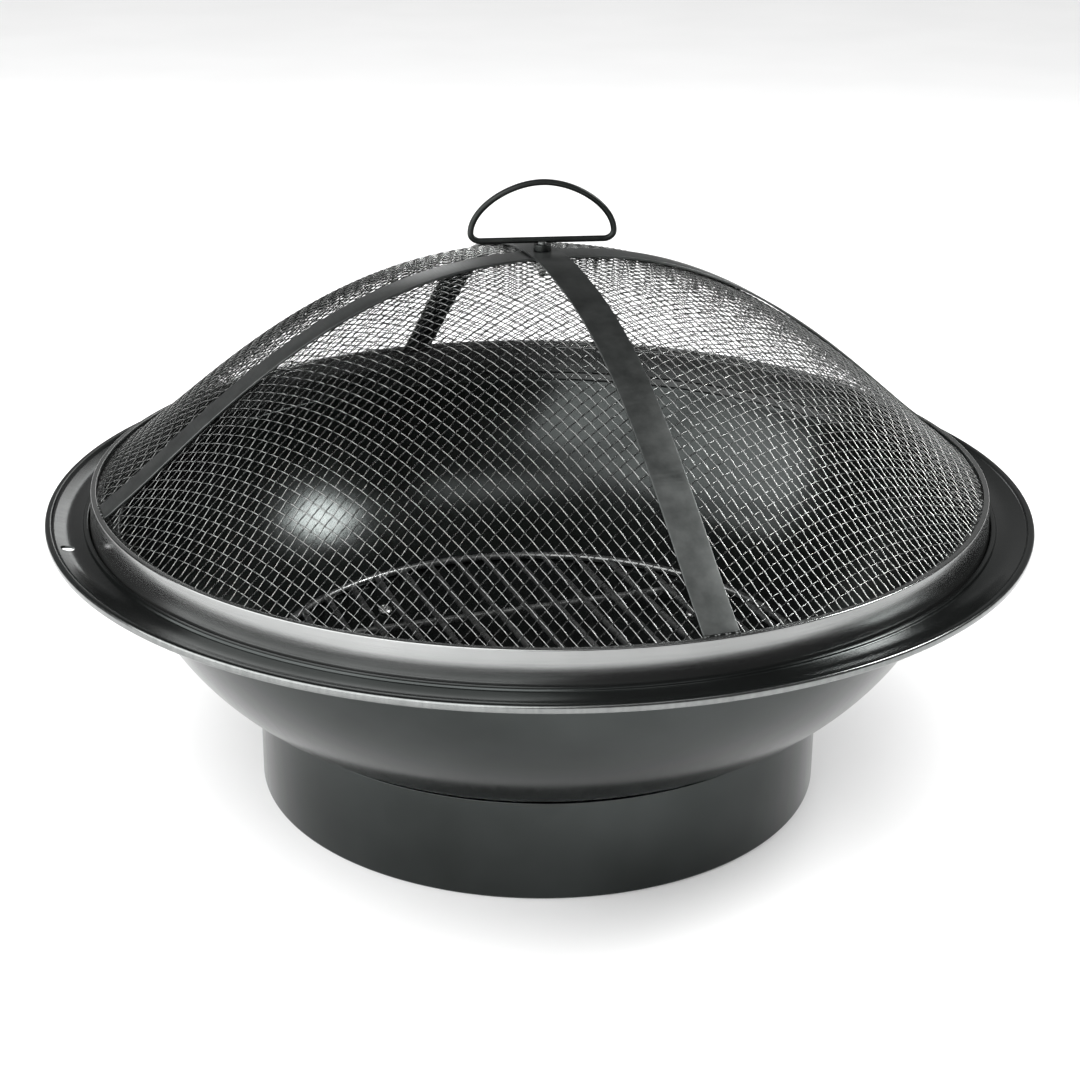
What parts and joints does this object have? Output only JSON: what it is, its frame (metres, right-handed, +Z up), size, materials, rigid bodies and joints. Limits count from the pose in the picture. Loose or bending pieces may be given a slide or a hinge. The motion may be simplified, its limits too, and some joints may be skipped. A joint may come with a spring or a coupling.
{
  "type": "fire pit with grate",
  "caption": "Round wood-burning fire pit: a steel bowl with a wide flange on a ring base, a rod grate inside and a lift-off domed mesh spark screen with a loop handle.",
  "frame": {"origin": "centre of the base ring's foot, on the ground", "axes": "+Z up along the bowl's axis; the front, which the hem of one screen strap meets a little right of centre, faces -Y; +X is to the right"},
  "size_m": [0.75, 0.75, 0.4729],
  "materials": {
    "bowl_paint": "satin black heat-resistant paint, slightly glossy",
    "skirt_paint": "satin black paint",
    "strap_paint": "satin dark grey-black paint with a faint brushed grain",
    "screen_wire": "thin black paint over woven crimped wire",
    "grate_steel": "satin black paint on round bar",
    "fixing_steel": "blackened steel"
  },
  "bodies": {
    "base": {"fire_bowl": "bowl_paint", "base_ring": "bowl_paint", "base_bracket_1": "bowl_paint", "base_bracket_2": "bowl_paint", "base_bracket_3": "bowl_paint", "base_bracket_4": "bowl_paint", "base_bolt_1": "fixing_steel", "base_bolt_2": "fixing_steel", "base_bolt_3": "fixing_steel", "base_bolt_4": "fixing_steel", "base_nut_1": "fixing_steel", "base_nut_2": "fixing_steel", "base_nut_3": "fixing_steel", "base_nut_4": "fixing_steel"},
    "grate": {"grate_ring": "grate_steel", "grate_rod_01": "grate_steel", "grate_rod_02": "grate_steel", "grate_rod_03": "grate_steel", "grate_rod_04": "grate_steel", "grate_rod_05": "grate_steel", "grate_rod_06": "grate_steel", "grate_rod_07": "grate_steel", "grate_rod_08": "grate_steel", "grate_rod_09": "grate_steel", "grate_rod_10": "grate_steel", "grate_rod_11": "grate_steel", "grate_rod_12": "grate_steel", "grate_rod_13": "grate_steel", "grate_rod_14": "grate_steel", "grate_rod_15": "grate_steel", "grate_rod_16": "grate_steel", "grate_rod_17": "grate_steel", "grate_cross_bar_1": "grate_steel", "grate_cross_bar_2": "grate_steel"},
    "screen": {"screen_skirt": "skirt_paint", "screen_hem_ring": "skirt_paint", "screen_mesh": "screen_wire", "strap_lower": "strap_paint", "strap_upper": "strap_paint", "handle_loop": "strap_paint", "handle_boss": "strap_paint", "handle_stud": "fixing_steel", "handle_washer": "fixing_steel", "handle_nut": "fixing_steel"}
  },
  "joints": [
    {"name": "screen_lift", "type": "slide", "parent": "base", "child": "screen", "axis": [0, 0, 1], "range_m": [0, 0.35]},
    {"name": "grate_lift", "type": "slide", "parent": "base", "child": "grate", "axis": [0, 0, 1], "range_m": [0, 0.2]}
  ]
}
